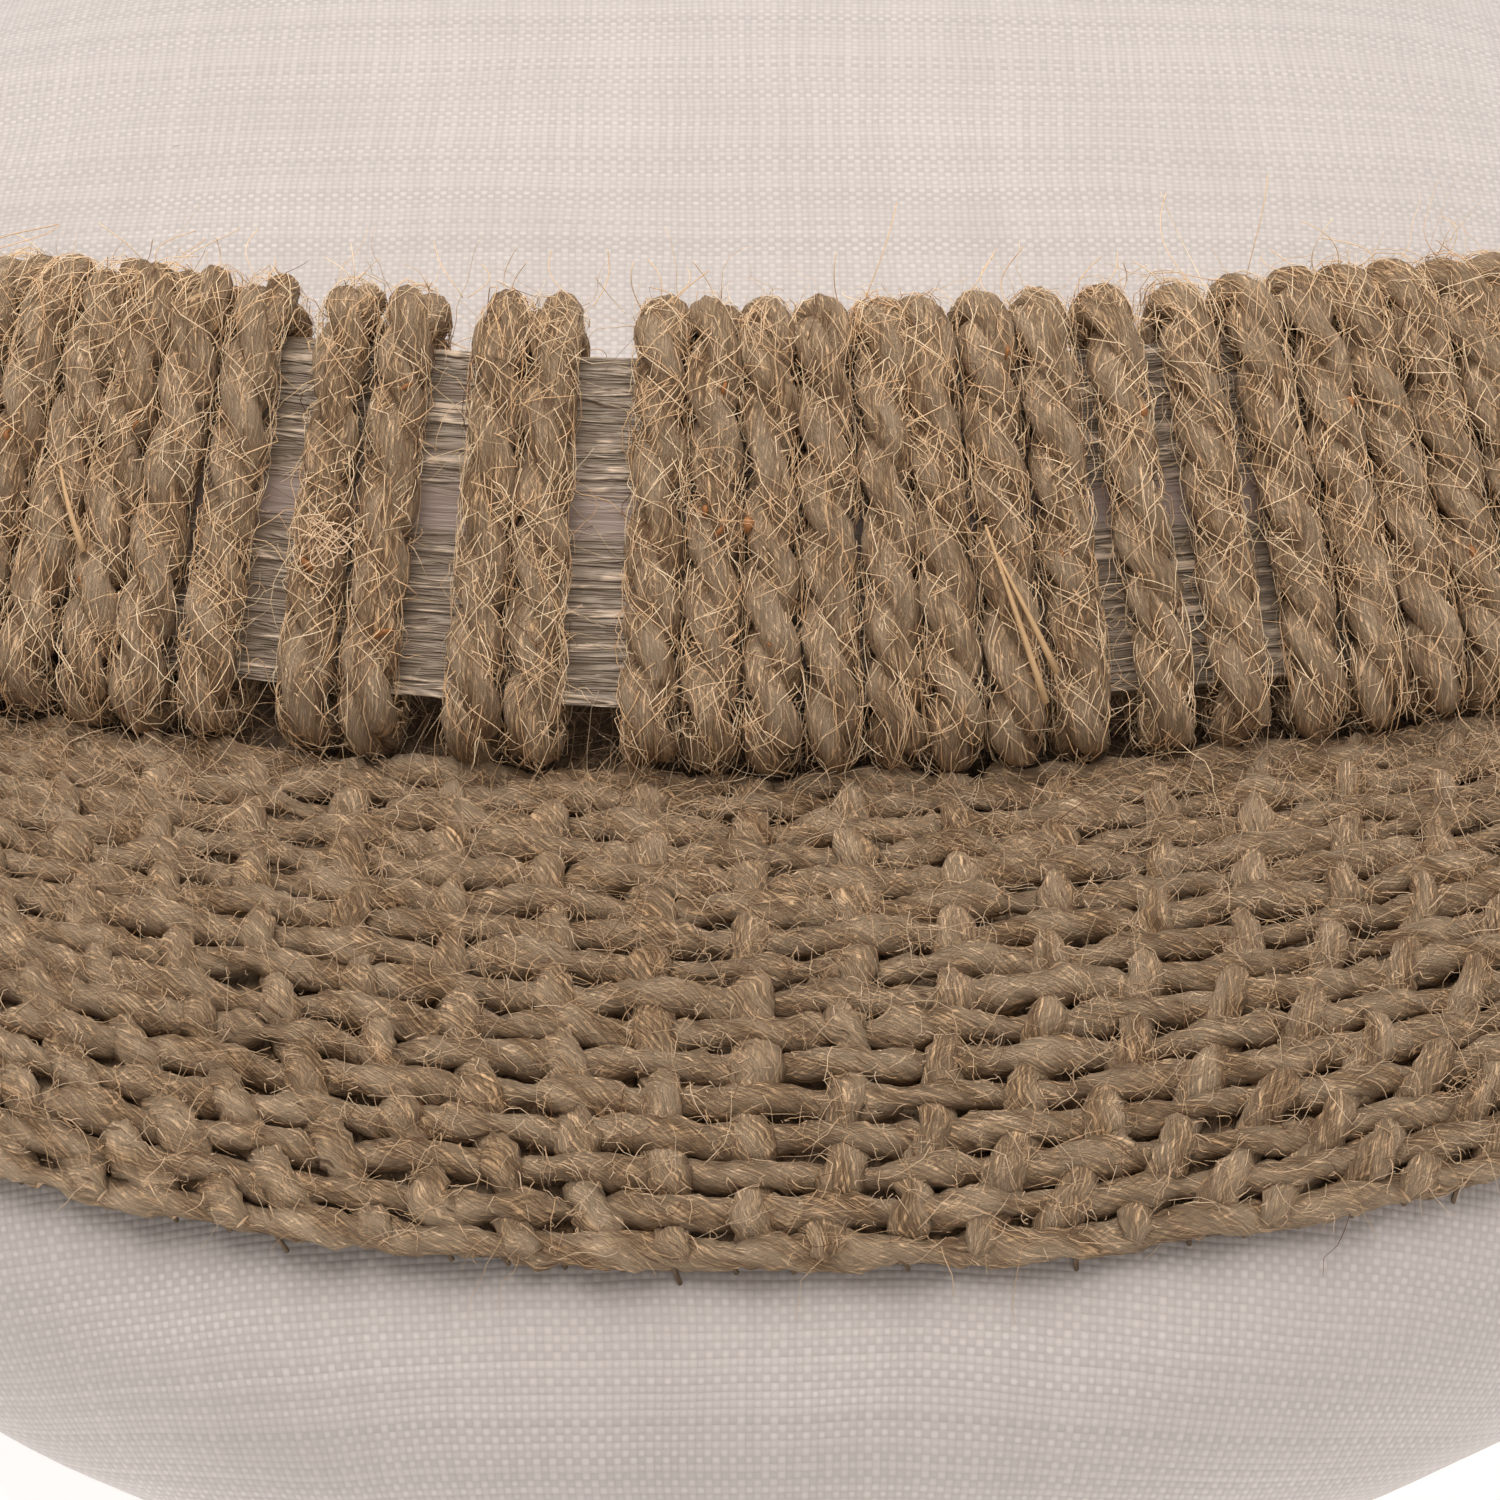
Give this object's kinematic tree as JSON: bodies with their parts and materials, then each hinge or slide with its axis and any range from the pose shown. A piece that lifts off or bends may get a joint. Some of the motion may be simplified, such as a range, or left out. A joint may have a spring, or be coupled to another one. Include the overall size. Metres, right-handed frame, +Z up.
{
  "type": "ring bearer pillow",
  "caption": "Round linen cushion with a crescent of coarse jute cloth across its front and a standing wooden strip whipped with jute twine that holds the rings or a card behind it",
  "frame": {"origin": "on the surface it lies on, under the middle of the pillow", "axes": "+Z is up, out of the crown; -Y is the front, which the jute panel crosses; +X is to the right seen from the front"},
  "size_m": [0.1768, 0.1768, 0.0655],
  "materials": {
    "linen": "matte plain weave",
    "polyester_filling": "loose fibre",
    "seam_thread": "matte thread",
    "jute_cloth": "coarse open weave",
    "jute_twine": "hairy two-ply twine",
    "greyed_wood": "satin with fine raised grain"
  },
  "bodies": {
    "root": {"linen_cover": "linen", "base_panel": "linen", "filling_pad": "polyester_filling", "base_seam_cord": "seam_thread", "jute_panel": "jute_cloth", "panel_edge_thread": "jute_twine", "edge_strip": "greyed_wood", "whipping_twine": "jute_twine", "end_stitch_left": "jute_twine", "end_stitch_right": "jute_twine"}
  },
  "joints": []
}
